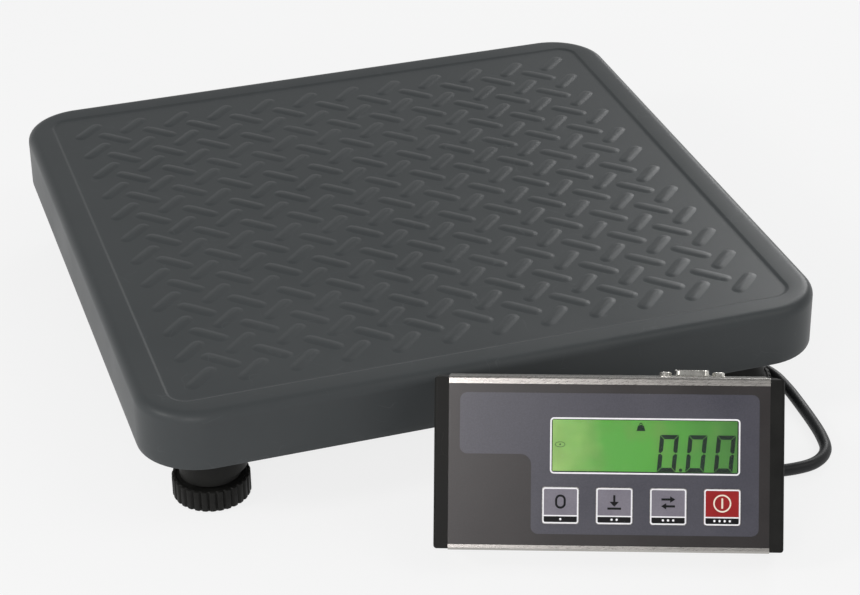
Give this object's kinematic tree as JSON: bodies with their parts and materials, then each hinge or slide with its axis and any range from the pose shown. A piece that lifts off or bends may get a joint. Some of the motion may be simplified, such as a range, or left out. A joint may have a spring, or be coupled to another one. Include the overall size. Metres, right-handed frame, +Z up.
{
  "type": "platform shipping scale",
  "caption": "Low square bench scale with a raised tread pattern on its platform, levelling feet and a separate tilted indicator joined by a lead.",
  "frame": {"origin": "on the floor under the middle of the platform", "axes": "+X to the right along the platform's front edge, +Y away from the indicator, +Z up"},
  "size_m": [0.355, 0.4759, 0.0856],
  "materials": {
    "paint_grey": "satin dark grey paint",
    "rubber_black": "matte",
    "plastic_black": "fine texture",
    "steel_zinc": "zinc plated",
    "steel_plain": "machined",
    "aluminium_cell": "machined",
    "aluminium_shell": "satin anodised",
    "panel_dark": "dark printed film",
    "lens_clear": "clear window",
    "lcd_green": "lit display",
    "backlight_white": "diffuser",
    "key_grey": "printed film",
    "key_red": "printed film",
    "board_green": "solder mask",
    "silicone": "keypad rubber",
    "socket_metal": "tin plated",
    "brass_insert": "threaded",
    "lead_black": "satin PVC sheath",
    "level_clear": "bubble level"
  },
  "bodies": {
    "base": {"base_rail_left": "paint_grey", "base_rail_right": "paint_grey", "base_crossbar": "paint_grey", "foot_bosses": "plastic_black", "overload_stops": "steel_zinc", "cell_bottom_screws": "steel_zinc", "end_cap_screws": "steel_zinc", "prop_bracket": "steel_zinc", "prop_pin": "steel_zinc", "cell_bottom_spacer": "steel_plain", "load_cell": "aluminium_cell", "bubble_level": "level_clear", "base_gland": "plastic_black", "unit_gland": "plastic_black", "end_cap_left": "plastic_black", "end_cap_right": "plastic_black", "serial_insert": "plastic_black", "power_jack": "plastic_black", "coil_tie": "plastic_black", "cell_lead": "lead_black", "lead_to_base": "lead_black", "lead_to_indicator": "lead_black", "lead_coil": "lead_black", "housing_shell": "aluminium_shell", "front_panel": "panel_dark", "display_lens": "lens_clear", "lcd_panel": "lcd_green", "backlight_panel": "backlight_white", "dome_sheet": "silicone", "main_board": "board_green", "board_standoffs": "steel_zinc", "serial_shell": "socket_metal", "serial_jackscrews": "socket_metal", "mount_inserts": "brass_insert"},
    "cover": {"platform_cover": "paint_grey", "locating_studs": "steel_zinc"},
    "deck": {"deck_rail_left": "paint_grey", "deck_rail_right": "paint_grey", "deck_crossbar": "paint_grey", "cell_top_spacer": "steel_plain", "cell_top_screws": "steel_zinc", "deck_buffers": "rubber_black"},
    "foot_pad_front_left": {"foot_pad_front_left": "rubber_black"},
    "foot_screw_front_left": {"foot_wheel_front_left": "plastic_black", "foot_stud_front_left": "steel_zinc"},
    "foot_pad_front_right": {"foot_pad_front_right": "rubber_black"},
    "foot_screw_front_right": {"foot_wheel_front_right": "plastic_black", "foot_stud_front_right": "steel_zinc"},
    "foot_pad_back_left": {"foot_pad_back_left": "rubber_black"},
    "foot_screw_back_left": {"foot_wheel_back_left": "plastic_black", "foot_stud_back_left": "steel_zinc"},
    "foot_pad_back_right": {"foot_pad_back_right": "rubber_black"},
    "foot_screw_back_right": {"foot_wheel_back_right": "plastic_black", "foot_stud_back_right": "steel_zinc"},
    "key_zero": {"key_zero": "key_grey"},
    "key_tare": {"key_tare": "key_grey"},
    "key_unit": {"key_unit": "key_grey"},
    "key_power": {"key_power": "key_red"},
    "prop": {"prop_leg": "steel_zinc"}
  },
  "joints": [
    {"name": "deck_weigh", "type": "slide", "parent": "base", "child": "deck", "axis": [0, 0, 1], "range_m": [-0.001, 0], "stiffness_N_per_m": 100000, "springref_m": 0.0008, "deforming": ["load_cell"]},
    {"name": "cover_lift", "type": "slide", "parent": "deck", "child": "cover", "axis": [0, 0, 1], "range_m": [0, 0.12]},
    {"name": "foot_height_front_left", "type": "slide", "parent": "base", "child": "foot_pad_front_left", "axis": [0, 0, 1], "range_m": [-0.0091, 0]},
    {"name": "foot_turn_front_left", "type": "hinge", "parent": "foot_pad_front_left", "child": "foot_screw_front_left", "pos_m": [-0.141, -0.141, 0.0065], "axis": [0, 0, 1], "range_deg": [-2160, 0]},
    {"name": "foot_height_front_right", "type": "slide", "parent": "base", "child": "foot_pad_front_right", "axis": [0, 0, 1], "range_m": [-0.0091, 0]},
    {"name": "foot_turn_front_right", "type": "hinge", "parent": "foot_pad_front_right", "child": "foot_screw_front_right", "pos_m": [0.141, -0.141, 0.0065], "axis": [0, 0, 1], "range_deg": [-2160, 0]},
    {"name": "foot_height_back_left", "type": "slide", "parent": "base", "child": "foot_pad_back_left", "axis": [0, 0, 1], "range_m": [-0.0091, 0]},
    {"name": "foot_turn_back_left", "type": "hinge", "parent": "foot_pad_back_left", "child": "foot_screw_back_left", "pos_m": [-0.141, 0.141, 0.0065], "axis": [0, 0, 1], "range_deg": [-2160, 0]},
    {"name": "foot_height_back_right", "type": "slide", "parent": "base", "child": "foot_pad_back_right", "axis": [0, 0, 1], "range_m": [-0.0091, 0]},
    {"name": "foot_turn_back_right", "type": "hinge", "parent": "foot_pad_back_right", "child": "foot_screw_back_right", "pos_m": [0.141, 0.141, 0.0065], "axis": [0, 0, 1], "range_deg": [-2160, 0]},
    {"name": "key_zero_press", "type": "slide", "parent": "base", "child": "key_zero", "axis": [0.298, 0.8131, -0.5], "range_m": [0, 0.0004], "stiffness_N_per_m": 500, "springref_m": -0.0004},
    {"name": "key_tare_press", "type": "slide", "parent": "base", "child": "key_tare", "axis": [0.298, 0.8131, -0.5], "range_m": [0, 0.0004], "stiffness_N_per_m": 500, "springref_m": -0.0004},
    {"name": "key_unit_press", "type": "slide", "parent": "base", "child": "key_unit", "axis": [0.298, 0.8131, -0.5], "range_m": [0, 0.0004], "stiffness_N_per_m": 500, "springref_m": -0.0004},
    {"name": "key_power_press", "type": "slide", "parent": "base", "child": "key_power", "axis": [0.298, 0.8131, -0.5], "range_m": [0, 0.0004], "stiffness_N_per_m": 500, "springref_m": -0.0004},
    {"name": "prop_fold", "type": "hinge", "parent": "base", "child": "prop", "pos_m": [0.03707, -0.22164, 0.03647], "axis": [0.9389, -0.3442, 0], "range_deg": [-57, 0]}
  ],
  "couplings": [
    {"joint": "foot_height_front_left", "follows": "foot_turn_front_left", "m_per_rad": 0.00023873},
    {"joint": "foot_height_front_right", "follows": "foot_turn_front_right", "m_per_rad": 0.00023873},
    {"joint": "foot_height_back_left", "follows": "foot_turn_back_left", "m_per_rad": 0.00023873},
    {"joint": "foot_height_back_right", "follows": "foot_turn_back_right", "m_per_rad": 0.00023873}
  ]
}
